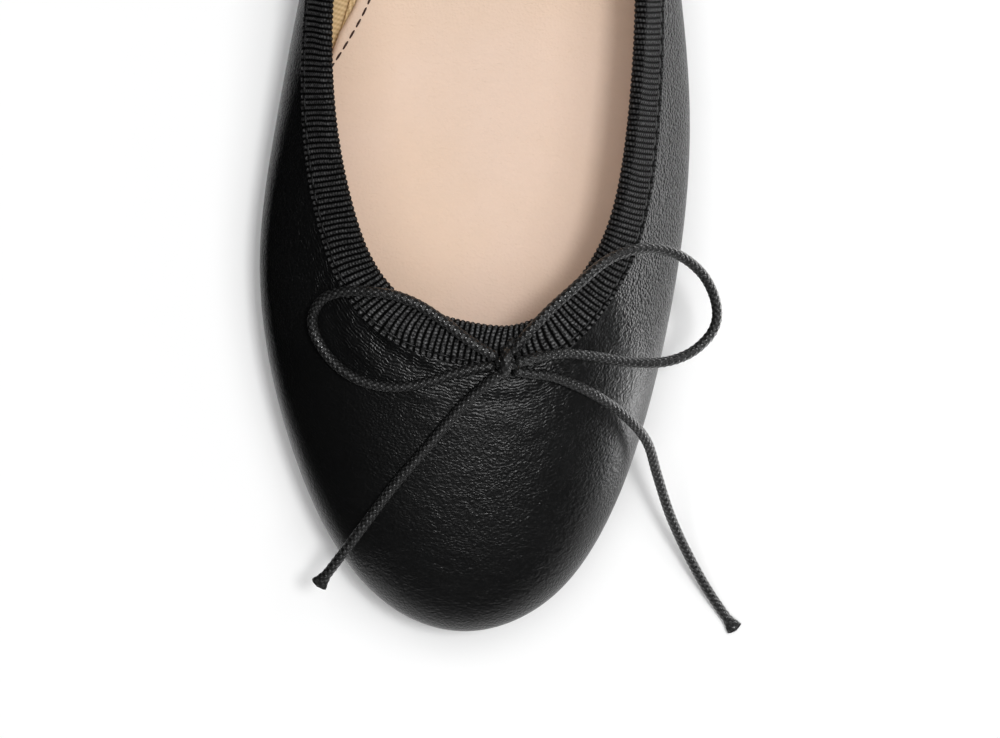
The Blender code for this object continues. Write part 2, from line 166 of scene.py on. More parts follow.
# Shares of the length and of the half width, for the widest outline and for the topline, then shares of
# the widest rise and of the feather inset, then the slope at the topline in degrees
LAST_COLUMNS = ("along", "across", "top_along", "top_across", "rise", "inset", "lean")
LAST_RIBS = (
    (0.000, -0.045, 0.2343, 0.034, 0.75, 1.00, 12),
    (0.0235, 0.335, 0.2353, 0.161, 0.78, 1.00, 13),
    (0.080, 0.600, 0.2458, 0.302, 0.85, 1.00, 17),
    (0.157, 0.782, 0.2691, 0.440, 0.92, 1.00, 25),
    (0.250, 0.913, 0.3039, 0.570, 0.98, 1.00, 37),
    (0.337, 0.987, 0.3540, 0.656, 1.00, 1.00, 48),
    (0.415, 1.000, 0.4185, 0.707, 1.05, 1.05, 56),
    (0.492, 0.966, 0.4879, 0.736, 1.10, 1.25, 62),
    (0.597, 0.941, 0.5933, 0.775, 1.15, 1.60, 68),
    (0.718, 0.975, 0.7143, 0.827, 1.05, 1.20, 74),
    (0.831, 1.040, 0.8231, 0.853, 0.95, 1.00, 77),
    (0.911, 0.967, 0.8956, 0.784, 0.90, 0.90, 79),
    (0.976, 0.610, 0.9596, 0.500, 0.90, 0.85, 81),
    (1.000, 0.066, 0.9821, 0.066, 0.90, 0.85, 82),
    (0.976, -0.479, 0.9596, -0.368, 0.90, 0.85, 81),
    (0.914, -0.858, 0.8998, -0.671, 0.90, 0.90, 79),
    (0.835, -0.947, 0.8272, -0.769, 0.95, 1.00, 77),
    (0.734, -0.872, 0.7301, -0.751, 1.05, 1.40, 75),
    (0.617, -0.776, 0.6134, -0.698, 1.15, 1.95, 73),
    (0.494, -0.824, 0.4903, -0.715, 1.12, 2.05, 66),
    (0.383, -0.939, 0.3903, -0.692, 1.05, 1.20, 55),
    (0.294, -1.000, 0.3296, -0.620, 1.00, 1.00, 43),
    (0.211, -0.958, 0.2846, -0.520, 0.96, 1.00, 32),
    (0.1355, -0.838, 0.2566, -0.381, 0.90, 1.00, 22),
    (0.061, -0.628, 0.2438, -0.229, 0.83, 1.00, 16),
    (0.014, -0.347, 0.2376, -0.091, 0.78, 1.00, 13),
)
# Where, on a rib's way up, the turned margin ends and the widest outline is passed
FEATHER_SHARE = 0.08
WIDEST_SHARE = 0.26


def ease(value, start, end):
    share = np.clip((value - start) / (end - start), 0.0, 1.0)
    return share * share * (3.0 - 2.0 * share)


def half_width(along):
    return 0.5 * (BALL_WIDTH + (HEEL_WIDTH - BALL_WIDTH) * ease(along, 0.45, 0.85))


def sole_underside(along):
    spring = TOE_SPRING * np.clip(1.0 - along / 0.21, 0.0, 1.0) ** 2
    return spring + HEEL_HEIGHT * ease(along, 0.42, 0.72)


def feather_height(along):
    return sole_underside(along) + SOLE_THICKNESS + SEAT_GAP


def topline_height(along):
    front = 1.0 - ease(along, 0.23, 0.46)
    back = ease(along, 0.52, 1.02)
    return SIDE_HEIGHT + (THROAT_HEIGHT - SIDE_HEIGHT) * front + (BACK_HEIGHT - SIDE_HEIGHT) * back


def closed_spline(knots, period, values, at):
    """Smooth closed curve of the values at the knots, read at the places asked for."""
    count = len(knots)
    step = np.diff(np.append(knots, period))
    ahead = (np.arange(count) + 1) % count
    behind = (np.arange(count) - 1) % count
    slope = (values[ahead] - values) / step
    system = np.zeros((count, count))
    system[np.arange(count), np.arange(count)] = 2.0 * (step + step[behind])
    system[np.arange(count), ahead] += step
    system[np.arange(count), behind] += step[behind]
    bend = np.linalg.solve(system, 6.0 * (slope - slope[behind]))
    at = np.mod(at, period)
    row = np.searchsorted(knots, at, side="right") - 1
    past = at - knots[row]
    left = step[row] - past
    curved = (bend[row] * left**3 + bend[ahead[row]] * past**3) / (6.0 * step[row])
    start = (values[row] / step[row] - bend[row] * step[row] / 6.0) * left
    end = (values[ahead[row]] / step[row] - bend[ahead[row]] * step[row] / 6.0) * past
    return curved + start + end


def last_table():
    """The ribs' columns in metres and radians, their knots round the outline and the way round."""
    column = dict(zip(LAST_COLUMNS, np.array(LAST_RIBS, float).T))
    made = {
        "x": column["across"] * half_width(column["along"]),
        "y": column["along"] * LENGTH,
        "top_x": column["top_across"] * half_width(column["top_along"]),
        "top_y": column["top_along"] * LENGTH,
        "rise": column["rise"] * WIDEST_RISE,
        "inset": column["inset"] * FEATHER_INSET,
        "lean": np.radians(column["lean"]),
    }
    around = [np.diff(np.append(made[axis], made[axis][0])) for axis in ("x", "y")]
    way = np.cumsum(np.hypot(*around))
    return made, np.append(0.0, way[:-1]), way[-1]


LAST, LAST_KNOTS, LAST_WAY = last_table()


def rib(u):
    """Every column of the last at u, from 0 at the toe round the outer side to 1, and the way inwards."""
    places = u * LAST_WAY
    nudge = 0.0005

    def column(name, shift=0.0):
        return closed_spline(LAST_KNOTS, LAST_WAY, LAST[name], places + shift)

    found = {name: column(name) for name in LAST}
    dx = column("x", nudge) - column("x", -nudge)
    dy = column("y", nudge) - column("y", -nudge)
    size = np.hypot(dx, dy)
    found["in_x"] = -dy / size
    found["in_y"] = dx / size
    return found


def bezier(a, b, c, d, t):
    return (1 - t) ** 3 * a + 3 * (1 - t) ** 2 * t * b + 3 * (1 - t) * t**2 * c + t**3 * d


OUTLINE = rib(np.linspace(0.0, 1.0, 720, endpoint=False))
CENTRE_X, CENTRE_Y = (0.5 * (OUTLINE[axis].min() + OUTLINE[axis].max()) for axis in ("x", "y"))


def last_surface(u, v):
    """The upper's outer surface: u round the shoe from the toe, v from the turned edge up to the topline."""
    at = rib(u)
    turned = np.clip(1.0 - v / FEATHER_SHARE, 0.0, 1.0)
    low = np.clip((v - FEATHER_SHARE) / (WIDEST_SHARE - FEATHER_SHARE), 0.0, 1.0)
    high = np.clip((v - WIDEST_SHARE) / (1.0 - WIDEST_SHARE), 0.0, 1.0)
    inset = at["inset"] + turned * LASTING_MARGIN
    feather = feather_height((at["y"] + at["in_y"] * inset) / LENGTH)
    widest = feather_height(at["y"] / LENGTH) + at["rise"]
    low_inset = bezier(inset, 0.45 * inset, 0.0, 0.0, low)
    low_z = bezier(feather, feather, widest - 0.55 * (widest - feather), widest, low)
    run_x = at["top_x"] - at["x"]
    run_y = at["top_y"] - at["y"]
    run = np.hypot(run_x, run_y)
    top = topline_height(at["top_y"] / LENGTH)
    reach = 0.45 * np.hypot(run, top - widest)
    across = bezier(0.0, 0.0, run - reach * np.cos(at["lean"]), run, high)
    high_z = bezier(widest, widest + 0.5 * (top - widest), top - reach * np.sin(at["lean"]), top, high)
    above = v > WIDEST_SHARE
    x = at["x"] + np.where(above, run_x * across / run, at["in_x"] * low_inset)
    y = at["y"] + np.where(above, run_y * across / run, at["in_y"] * low_inset)
    z = np.where(above, high_z, low_z)
    return np.stack([x - CENTRE_X, y - CENTRE_Y, z], axis=-1)


def unit(vectors):
    return vectors / np.maximum(np.linalg.norm(vectors, axis=-1, keepdims=True), 1e-12)


def last_normal(u, v):
    step_u, step_v = 0.0008, 0.004
    round_way = last_surface(u + step_u, v) - last_surface(u - step_u, v)
    up_way = last_surface(u, np.minimum(v + step_v, 1.0)) - last_surface(u, np.maximum(v - step_v, 0.0))
    return unit(np.cross(round_way, up_way))


def nearest(share, count):
    """The row or column of a grid that a share of its way falls on."""
    return np.rint(share * count).astype(int)


def shaped_sheet(name, columns, rows, place, lay):
    """A flat grid laid out by place(u, v), with its meeting edges welded and lay(u, v) as its own map."""
    bpy.ops.object.select_all(action="DESELECT")
    bpy.ops.mesh.primitive_grid_add(x_subdivisions=columns, y_subdivisions=rows, size=2.0)
    sheet = bpy.context.active_object
    sheet.name = name
    mesh = sheet.data
    flat = np.empty(len(mesh.vertices) * 3)
    mesh.vertices.foreach_get("co", flat)
    flat = flat.reshape(-1, 3)
    u, v = 0.5 * (flat[:, 0] + 1.0), 0.5 * (flat[:, 1] + 1.0)
    mesh.vertices.foreach_set("co", place(u, v).reshape(-1))
    corners = np.empty(len(mesh.loops), int)
    mesh.loops.foreach_get("vertex_index", corners)
    cut = np.stack(lay(u, v), axis=-1)[corners]
    mesh.uv_layers.active.data.foreach_set("uv", cut.reshape(-1))
    bpy.ops.object.mode_set(mode="EDIT")
    bpy.ops.mesh.select_all(action="SELECT")
    bpy.ops.mesh.remove_doubles(threshold=1e-6)
    bpy.ops.object.mode_set(mode="OBJECT")
    bpy.ops.object.shade_smooth()
    mesh.update()
    return sheet


def give_wall(sheet, thickness):
    """A wall on the inner side of the sheet."""
    wall = sheet.modifiers.new("wall", "SOLIDIFY")
    wall.thickness = thickness
    wall.offset = -1.0
    bpy.context.view_layer.objects.active = sheet
    bpy.ops.object.modifier_apply(modifier=wall.name)


def adds_node(operation, turned=False):
    """A method that adds one Math node, with its values turned round if asked."""
    def method(self, *others):
        values = (self, *others)[::-1] if turned else (self, *others)
        return self.finish.node("ShaderNodeMath", {"operation": operation}, dict(enumerate(values)))

    return method


class Shade:
    """One output of a finish's nodes. Arithmetic on it adds Math nodes."""

    def __init__(self, finish, socket):
        self.finish = finish
        self.socket = socket

    __add__ = adds_node("ADD")
    __radd__ = adds_node("ADD", True)
    __sub__ = adds_node("SUBTRACT")
    __rsub__ = adds_node("SUBTRACT", True)
    __mul__ = adds_node("MULTIPLY")
    __rmul__ = adds_node("MULTIPLY", True)
    __truediv__ = adds_node("DIVIDE")
    absolute = adds_node("ABSOLUTE")
    sine = adds_node("SINE")
    fraction = adds_node("FRACT")

    def ramp(self, low, high, start=0.0, end=1.0):
        """Smooth step between two values."""
        settings = {"interpolation_type": "SMOOTHSTEP"}
        sockets = {"Value": self, "From Min": low, "From Max": high, "To Min": start, "To Max": end}
        return self.finish.node("ShaderNodeMapRange", settings, sockets)


class Finish:
    """A material on one Principled shader, built node by node."""

    def __init__(self, name):
        self.material = bpy.data.materials.new(name)
        self.material.use_nodes = True
        self.tree = self.material.node_tree
        self.shader = self.tree.nodes["Principled BSDF"]

    def node(self, kind, settings, sockets, output=0):
        made = self.tree.nodes.new(kind)
        for name, value in settings.items():
            setattr(made, name, value)
        for name, value in sockets.items():
            if isinstance(value, Shade):
                self.tree.links.new(value.socket, made.inputs[name])
            else:
                made.inputs[name].default_value = value
        return Shade(self, made.outputs[output])

    def place(self):
        return self.node("ShaderNodeTexCoord", {}, {}, "Object")

    def cut(self):
        return self.node("ShaderNodeUVMap", {}, {})

    def part(self, vector, axis):
        return self.node("ShaderNodeSeparateXYZ", {}, {0: vector}, axis)

    def stretched(self, vector, scale):
        return self.node("ShaderNodeMapping", {}, {"Vector": vector, "Scale": scale})

    def noise(self, vector, scale, detail=3.0, roughness=0.5, distortion=0.0):
        sockets = {"Vector": vector, "Scale": scale, "Detail": detail, "Roughness": roughness}
        sockets["Distortion"] = distortion
        return self.node("ShaderNodeTexNoise", {}, sockets)

    def cells(self, vector, scale, feature="F1", smoothness=None):
        sockets = {"Vector": vector, "Scale": scale}
        if smoothness is not None:
            sockets["Smoothness"] = smoothness
        return self.node("ShaderNodeTexVoronoi", {"feature": feature}, sockets)

    def mix(self, share, first, second):
        sockets = {0: share, 6: first, 7: second}
        return self.node("ShaderNodeMix", {"data_type": "RGBA"}, sockets, 2)

    def relief(self, height, depth, under=None):
        sockets = {"Height": height, "Distance": depth, "Strength": 1.0}
        if under is not None:
            sockets["Normal"] = under
        return self.node("ShaderNodeBump", {}, sockets)

    def finished(self, varying, constants):
        for name, shade in varying.items():
            self.tree.links.new(shade.socket, self.shader.inputs[name])
        for name, value in constants.items():
            self.shader.inputs[name].default_value = value
        return self.material


UPPER_COLUMNS = 480
UPPER_ROWS = 96
MM_PER_M = 1000.0
# Soft folds round the throat in millimetres: both ends in plan, height (troughs below 0) and half-width
FOLDS = (
    (-21.0, -65.0, -14.5, -69.6, 0.42, 0.9),
    (-14.5, -69.6, -8.0, -72.6, 0.38, 0.9),
    (-24.5, -63.0, -17.0, -70.6, -0.22, 1.2),
    (-17.0, -70.6, -6.0, -76.0, -0.20, 1.2),
    (-27.0, -66.5, -19.0, -74.0, 0.16, 1.3),
    (-19.0, -74.0, -9.0, -79.0, 0.14, 1.3),
    (-3.5, -76.0, 2.0, -77.6, 0.24, 0.8),
    (2.0, -77.6, 8.5, -76.2, 0.28, 0.8),
    (-2.0, -78.8, 9.0, -79.0, -0.16, 0.9),
    (8.5, -76.2, 14.5, -72.2, 0.20, 0.9),
    (12.0, -77.8, 19.0, -70.5, -0.16, 1.1),
    (16.0, -70.5, 22.0, -64.0, 0.16, 0.9),
    (-1.0, -82.5, 7.5, -83.0, 0.10, 1.0),
    (6.0, -86.0, 14.0, -83.0, 0.09, 1.0),
    (-12.0, -82.5, -4.0, -85.5, 0.09, 1.0),
)


def fold_height(points):
    """Height of the folds over the smooth last at points on the vamp, highest in the middle of each fold."""
    height = np.zeros(len(points))
    where = points[:, :2] * MM_PER_M
    for ax, ay, bx, by, rise, half in FOLDS:
        way = np.array((bx - ax, by - ay))
        along = np.clip((where - (ax, ay)) @ way / (way @ way), 0.0, 1.0)
        nearest = np.array((ax, ay)) + along[:, None] * way
        off = np.hypot(*(where - nearest).T)
        end = np.minimum(along, 1.0 - along)
        height += rise * (0.35 + 0.65 * ease(end, 0.0, 0.25)) * np.exp(-((off / half) ** 2))
    return height / MM_PER_M * (points[:, 2] > 0.02)


def leather_surface(u, v):
    smooth = last_surface(u, v)
    return smooth + last_normal(u, v) * fold_height(smooth)[:, None]


def topline_distances():
    """How far each place of the upper's grid lies below the topline, along its rib."""
    v = np.linspace(0.0, 1.0, UPPER_ROWS + 1)
    u = np.linspace(0.0, 1.0, UPPER_COLUMNS + 1)
    rows = np.array([last_surface(u, np.full_like(u, level)) for level in v])
    steps = np.linalg.norm(np.diff(rows, axis=0), axis=-1)
    below = np.cumsum(steps[::-1], axis=0)[::-1]
    return np.vstack([below, np.zeros((1, len(u)))])


TOPLINE_DISTANCES = topline_distances()


def lay_leather(u, v):
    row = nearest(v, UPPER_ROWS)
    column = nearest(u, UPPER_COLUMNS)
    return u * LAST_WAY, TOPLINE_DISTANCES[row, column]


WRINKLE_PITCH = 0.00064
WRINKLE_HEIGHT = 0.16
LONG_CELLS_PER_M = (1000.0, 2300.0)
ROUND_CELLS_PER_M = 1950.0
GRAIN_DEPTH = 0.00027
PORE_DEPTH = 0.00002


def black_nappa():
    """Fine grain, drawn long over the vamp and into short wrinkles round the throat, under a wax sheen."""
    finish = Finish("black_nappa")
    place, cut = finish.place(), finish.cut()
    x, y, level = (finish.part(place, axis) for axis in range(3))
    below = finish.part(cut, 1)
    near = below.ramp(0.023, 0.006) * y.ramp(-0.020, -0.052) * x.ramp(0.024, 0.008, 0.2, 1.0)
    # the walls of the upper start lower down towards the toe
    side = (level + y.ramp(-0.050, -0.085, 0.0, 0.012)).ramp(0.037, 0.031)
    outer_wall = side * x.ramp(-0.020, 0.030, 0.3, 1.3) * y.ramp(-0.080, -0.045, 0.25, 2.9)
    front = y.ramp(-0.045, -0.070) * (1.0 - side)
    soft = finish.noise(place, 2700.0, 2.0, 0.5, 0.5)
    warp = finish.noise(finish.stretched(cut, (210.0, 380.0, 1.0)), 1.0, 2.0, 0.55, 0.3)
    along, down = LONG_CELLS_PER_M
    wavy = {"X": finish.part(cut, 0) * along, "Y": (below + warp * 0.0020) * down}
    long_cells = finish.cells(finish.node("ShaderNodeCombineXYZ", {}, wavy), 1.0, "SMOOTH_F1", 0.3)
    round_cells = finish.cells(place, ROUND_CELLS_PER_M, "SMOOTH_F1", 0.25)
    gaps = long_cells * front + round_cells * (1.0 - front)
    waves = ((below / WRINKLE_PITCH + warp * 3.2) * (2.0 * math.pi)).sine()
    broken = finish.noise(finish.stretched(cut, (380.0, 620.0, 1.0)), 1.0, 1.0).ramp(0.30, 0.62, 0.15, 1.0)
    strength = (1.0 - 0.6 * near) * (0.32 + outer_wall)
    height = (1.0 - gaps) * strength * 0.9 + soft * strength * 0.4 + waves * broken * near * WRINKLE_HEIGHT
    broad = finish.noise(place, 90.0, 3.0)
    pores = finish.relief(finish.noise(place, 4200.0, 2.0), PORE_DEPTH, finish.relief(height, GRAIN_DEPTH))
    colour = finish.mix(broad, (0.0018, 0.0019, 0.0020, 1.0), (0.0032, 0.0033, 0.0034, 1.0))
    rough = 0.29 + 0.05 * broad + 0.10 * soft
    varying = {"Base Color": colour, "Roughness": rough, "Normal": pores}
    return finish.finished(varying, {"Specular IOR Level": 0.55})


upper = shaped_sheet("upper_leather", UPPER_COLUMNS, UPPER_ROWS, leather_surface, lay_leather)
give_wall(upper, LEATHER)
upper.data.materials.append(black_nappa())
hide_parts("upper")
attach(upper, "root")


# The lining. Nude leather inside the forepart, and a gold-beige twill in the quarters behind it. The
# leather ends in a narrow turned edge where the two meet.
LINING_COLUMNS = 300
LINING_ROWS = 64
LINING_MAP_HEIGHT = 0.06
LINING_FROM = 0.04
LINING_TO = 0.995
GLUE = 0.0001
TWILL_PITCH = 0.00095
# Stretches of Y over which leather turns to twill and the turned edge rises
LINING_JOIN = (-0.0103, -0.0097)
TURNED_EDGE = (-0.0112, -0.0104)


def lining_surface(u, v):
    v = LINING_FROM + (LINING_TO - LINING_FROM) * v
    return last_surface(u, v) - last_normal(u, v) * (LEATHER + GLUE)


def cotton_twill(finish, along, across):
    """Colour and height of a beige twill: ribs along it, threads across and a slub here and there."""
    slub = finish.noise(finish.place(), 300.0, 3.0)
    ribs = ((across + along * 0.12) * (2.0 * math.pi / TWILL_PITCH)).sine() * 0.5 + 0.5
    picks = ((along - across * 0.4) * (2.0 * math.pi / (0.6 * TWILL_PITCH))).sine() * 0.5 + 0.5
    shade = ribs * 0.6 + picks * 0.25 + slub * 0.25
    colour = finish.mix(shade, (0.42, 0.29, 0.14, 1.0), (0.72, 0.54, 0.31, 1.0))
    return colour, ribs + picks * 0.3


def lining_finish():
    """Nude leather in front and twill behind, with a narrow turned edge where they meet."""
    finish = Finish("nude_lining")
    place = finish.place()
    cut = finish.cut()
    y = finish.part(place, 1)
    behind = y.ramp(*LINING_JOIN)
    lip = y.ramp(*TURNED_EDGE) * (1.0 - behind)
    mottle = finish.noise(place, 240.0, 3.0)
    fine = finish.noise(place, 1800.0, 2.0)
    leather = finish.mix(mottle, (0.60, 0.45, 0.34, 1.0), (0.67, 0.51, 0.40, 1.0))
    cloth, weave = cotton_twill(finish, finish.part(cut, 1), finish.part(cut, 0))
    colour = finish.mix(behind, leather, cloth)
    height = fine * (1.0 - behind) * 0.2 + weave * behind * 0.6 + lip * 2.0
    varying = {"Base Color": colour, "Normal": finish.relief(height, 0.00012)}
    return finish.finished(varying, {"Roughness": 0.7, "Specular IOR Level": 0.3})


def lay_lining(u, v):
    return u * LAST_WAY, v * LINING_MAP_HEIGHT


lining = shaped_sheet("lining", LINING_COLUMNS, LINING_ROWS, lining_surface, lay_lining)
give_wall(lining, LINING)
lining.data.materials.append(lining_finish())
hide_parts("upper")
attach(lining, "root")


# The binding. A black grosgrain ribbon folded over the topline all the way round and sewn through on the
# outside. Its ribs run across the band. They bow over the throat and lean back towards the heel on the
# sides.
BAND_WIDTH = 0.0074
BAND_OFF = 0.0002
RIBBON = 0.0005
EDGE_WALL = 0.0011
RIB_PITCH = 0.00102
RIB_HEIGHT = 0.00048
RIB_COLUMNS = 7
RIB_SWAY = 0.45
RIB_LEAN = 1.0
SEAM_IN = 0.0010
SEAM_DEPTH = 0.00028
SEAM_HALF = 0.00022
CUT_DROP = 0.00012
INNER_PLAY = 0.0004
# Distances from the topline at which the ribbon's section has a row: down its outside, then down its inside
OUTSIDE_MM = (0.4, 1.0, 1.7, 2.4, 3.1, 3.8, 4.5, 5.1, 5.6, 6.0, 6.25, 6.4, 6.55, 6.8, 7.05, 7.25, 7.36, 7.4)
INSIDE_MM = (0.5, 1.0, 1.5, 1.6)
LONGEST_HOP = 0.0006


def topline_walk(starts, distances):
    """Points of the leather reached by walking square off the topline, with their outward normals."""
    u = starts.copy()
    v = np.ones_like(u)
    step_u, step_v = 0.0004, 0.002
    ahead, behind = last_surface(u + step_u, v), last_surface(u - step_u, v)
    along = unit(ahead - behind)
    normal = last_normal(u, v)
    way = unit(np.cross(along, normal))
    points, normals, walked = [], [], 0.0
    for distance in distances:
        hops = max(1, int(math.ceil((distance - walked) / LONGEST_HOP)))
        for _ in range(hops):
            hop = (distance - walked) / hops
            by_u = (last_surface(u + step_u, v) - last_surface(u - step_u, v)) / (2 * step_u)
            by_v = (last_surface(u, v) - last_surface(u, v - step_v)) / step_v
            normal = unit(np.cross(by_u, by_v))
            way = unit(way - normal * np.sum(way * normal, axis=-1, keepdims=True))
            uu, vv = np.sum(by_u * by_u, -1), np.sum(by_v * by_v, -1)
            uv = np.sum(by_u * by_v, -1)
            wu, wv = np.sum(way * by_u, -1), np.sum(way * by_v, -1)
            size = uu * vv - uv * uv
            u = u + hop * (wu * vv - wv * uv) / size
            v = v + hop * (wv * uu - wu * uv) / size
        walked = distance
        points.append(last_surface(u, v))
        normals.append(last_normal(u, v))
    return points, normals


def even_starts(count):
    """Places round the topline with equal lengths of topline between them."""
    u = np.linspace(0.0, 1.0, 4001)
    edge = last_surface(u, np.ones_like(u))
    walked = np.append(0.0, np.cumsum(np.linalg.norm(np.diff(edge, axis=0), axis=1)))
    return np.interp(np.linspace(0.0, walked[-1], count + 1), walked, u), walked[-1]


def band_rings(count):
    """The ribbon row by row from its cut edge over the topline: points, ways out and places across."""
    starts, _ = even_starts(count)
    level = np.ones_like(starts)
    edge = last_surface(starts, level)
    normal = last_normal(starts, level)
    along = last_surface(starts + 0.0004, level) - last_surface(starts - 0.0004, level)
    onward = -unit(np.cross(unit(along), normal))
    far = BAND_OFF + RIBBON
    legs = np.array(OUTSIDE_MM) / MM_PER_M
    points, normals = topline_walk(starts, legs)
    rows = []
    for lift in (0.02, 0.45, 0.78):
        cut_edge = points[-1] + normals[-1] * far * lift
        rows.append((cut_edge, normals[-1] * 0.0, legs[-1] + 0.0003 * (0.8 - lift)))
    for point, out, leg in zip(points[-2::-1], normals[-2::-1], legs[-2::-1]):
        seam = SEAM_DEPTH * np.exp(-(((leg - (BAND_WIDTH - SEAM_IN)) / SEAM_HALF) ** 2))
        outside = point + out * (far - seam - CUT_DROP * ease(leg, BAND_WIDTH - 0.0004, BAND_WIDTH))
        rows.append((outside, out * (1.0 - 0.8 * seam / SEAM_DEPTH), leg))
    half = 0.5 * (EDGE_WALL + 2.0 * far)
    for degrees in (0, 22, 45, 68, 90, 112, 135, 158, 180):
        turn = math.radians(degrees)
        out = -0.5 * EDGE_WALL + half * math.cos(turn)
        over = edge + normal * out + onward * far * math.sin(turn)
        rows.append((over, unit(normal * math.cos(turn) + onward * math.sin(turn)), -half * turn))
    inner_legs = np.array(INSIDE_MM) / MM_PER_M
    points, normals = topline_walk(starts, inner_legs)
    for point, out, lift, leg in zip(points, normals, (1.0, 1.0, 0.95, 0.7), inner_legs):
        inside = point - out * (EDGE_WALL + INNER_PLAY + far * lift)
        rows.append((inside, -out, -math.pi * half - leg))
    inside = points[-1] - normals[-1] * (EDGE_WALL + INNER_PLAY + far * 0.2)
    rows.append((inside, normals[-1] * 0.0, -math.pi * half - 0.0018))
    return [np.array(part) for part in zip(*rows)]


def make_band():
    ribs = int(round(even_starts(1)[1] / RIB_PITCH))
    count = ribs * RIB_COLUMNS
    rings, ways, across = band_rings(count)
    rows = len(rings) - 1
    # where the topline runs along the shoe the ribs lean to the heel, and where it turns across they bow
    # and sway
    number = np.arange(count + 1) / RIB_COLUMNS
    heading = unit(np.gradient(rings[-1], axis=0))[:, 1]
    turn = 2.0 * math.pi * number / ribs
    unrest = 0.7 + 0.5 * np.sin(23.0 * turn) + 0.3 * np.sin(61.0 * turn + 1.0)
    sway = np.outer(RIB_SWAY * np.sin(math.pi * across / BAND_WIDTH), (1.0 - 0.6 * np.abs(heading)) * unrest)
    lean = np.outer(RIB_LEAN * np.clip(across / BAND_WIDTH, 0.0, 1.0), heading * np.abs(heading))
    phase = number + sway - lean
    ridge = np.sin(math.pi * np.mod(phase, 1.0)) ** 0.9
    calmer_inside = 1.0 - 0.4 * ease(-across, 0.0, 0.0012)[:, None]
    rings = rings + ways * (RIB_HEIGHT * calmer_inside * (ridge - 0.75))[:, :, None]

    def at(u, v):
        return nearest(v, rows), nearest(u, count)

    def place(u, v):
        row, column = at(u, v)
        return rings[row, column]

    def lay(u, v):
        row, column = at(u, v)
        return phase[row, column], across[row]

    return shaped_sheet("topline_binding_ribbon", count, rows, place, lay)


WEFT_PITCH = 0.00070


def grosgrain():
    """Matt ribs of weft picks, with painted highlights on the picks, painted shade in the furrows and seam,
    painted light at the throat.
    """
    finish = Finish("black_grosgrain_ribbon")
    cut = finish.cut()
    place = finish.place()
    number = finish.part(cut, 0)
    across = finish.part(cut, 1)
    furrow = (2.0 * number.fraction() - 1.0).absolute()
    stagger = (number - number.fraction()) * 0.37
    picks = ((across / WEFT_PITCH + stagger) * (2.0 * math.pi)).sine() * 0.5 + 0.5
    fuzz = finish.noise(place, 2200.0, 3.0, 0.65)
    broad = finish.noise(place, 160.0, 2.0)
    # painted light: the threads over the throat are painted twice as light as elsewhere on the ribbon
    throat = finish.part(place, 1).ramp(-0.050, -0.066)
    pile_painted_lighter_at_throat = finish.mix(throat, (0.130, 0.130, 0.131, 1.0), (0.26, 0.26, 0.262, 1.0))
    thread = finish.mix(fuzz.ramp(0.35, 0.7), (0.016, 0.016, 0.0165, 1.0), pile_painted_lighter_at_throat)
    # painted highlight: each weft pick is painted lighter than the dips between the picks
    threads_with_painted_pick_highlights = finish.mix(picks * 0.65 + 0.25 * broad + 0.1, grey(0.0035), thread)
    seam = (across - (BAND_WIDTH - SEAM_IN)).absolute().ramp(0.00040, 0.00015)
    # painted shade: the furrows between the ribs and the sunk seam line are painted near black
    painted_furrow_and_seam_shade = 1.0 - (1.0 - furrow.ramp(0.30, 0.80)) * (1.0 - 0.85 * seam)
    colour = finish.mix(painted_furrow_and_seam_shade, threads_with_painted_pick_highlights, grey(0.0008))
    relief = finish.relief((picks * 0.8 + fuzz * 1.2) * (1.0 - 0.8 * furrow), 0.00020)
    rough = 0.48 + 0.30 * fuzz + 0.18 * furrow
    varying = {"Base Color": colour, "Roughness": rough, "Normal": relief}
    return finish.finished(varying, {"Specular IOR Level": 0.12})


band = make_band()
band.data.materials.append(grosgrain())
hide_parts("topline_binding")
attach(band, "root")


# The row of stitches that holds the ribbon, 1 mm inside its outer edge. The black thread draws a groove
# across the ribs and dips into its holes.
STITCH = 0.0030
STITCH_SHARE = 0.80
THREAD = 0.00026


def stitch_row(name, points, normals, thread, share):
    """Threads between neighbouring points: each rises from its hole, lies flat and dips into the next."""
    rings = 7
    sides = 6
    body = np.linspace(0.0, 1.0, rings)
    arch = np.sin(math.pi * body) ** 0.4
    verts, faces = [], []
    for hole, after, out in zip(points[:-1], points[1:], normals[:-1]):
        way = after - hole
        side = np.cross(out, way)
        side = side / np.linalg.norm(side)
        base = len(verts)
        for t, lift in zip(body, arch):
            centre = hole + way * share * t + out * thread * (0.9 * lift - 0.55)
            wide = 0.5 * thread * (0.35 + 0.65 * lift)
            for k in range(sides):
                turn = 2.0 * math.pi * k / sides
                verts.append(centre + side * wide * math.cos(turn) + out * wide * math.sin(turn))
        for r in range(rings - 1):
            for k in range(sides):
                here, ahead = base + r * sides, base + (r + 1) * sides
                n = (k + 1) % sides
                faces.append((here + k, ahead + k, ahead + n, here + n))
        faces.append(tuple(base + k for k in range(sides)))
        faces.append(tuple(base + (rings - 1) * sides + k for k in reversed(range(sides))))
    mesh = bpy.data.meshes.new(name)
    mesh.from_pydata([tuple(p) for p in verts], [], faces)
    row = bpy.data.objects.new(name, mesh)
    bpy.context.scene.collection.objects.link(row)
    bpy.ops.object.select_all(action="DESELECT")
    row.select_set(True)
    bpy.context.view_layer.objects.active = row
    bpy.ops.object.mode_set(mode="EDIT")
    bpy.ops.mesh.select_all(action="SELECT")
    bpy.ops.mesh.normals_make_consistent(inside=False)
    bpy.ops.object.mode_set(mode="OBJECT")
    bpy.ops.object.shade_smooth()
    return row


def thread_finish(name, dark, light, rough):
    finish = Finish(name)
    place = finish.place()
    twist = finish.noise(place, 3000.0, 2.0)
    colour = finish.mix(twist, dark, light)
    relief = finish.relief(twist, 0.00003)
    return finish.finished({"Base Color": colour, "Normal": relief}, {"Roughness": rough})


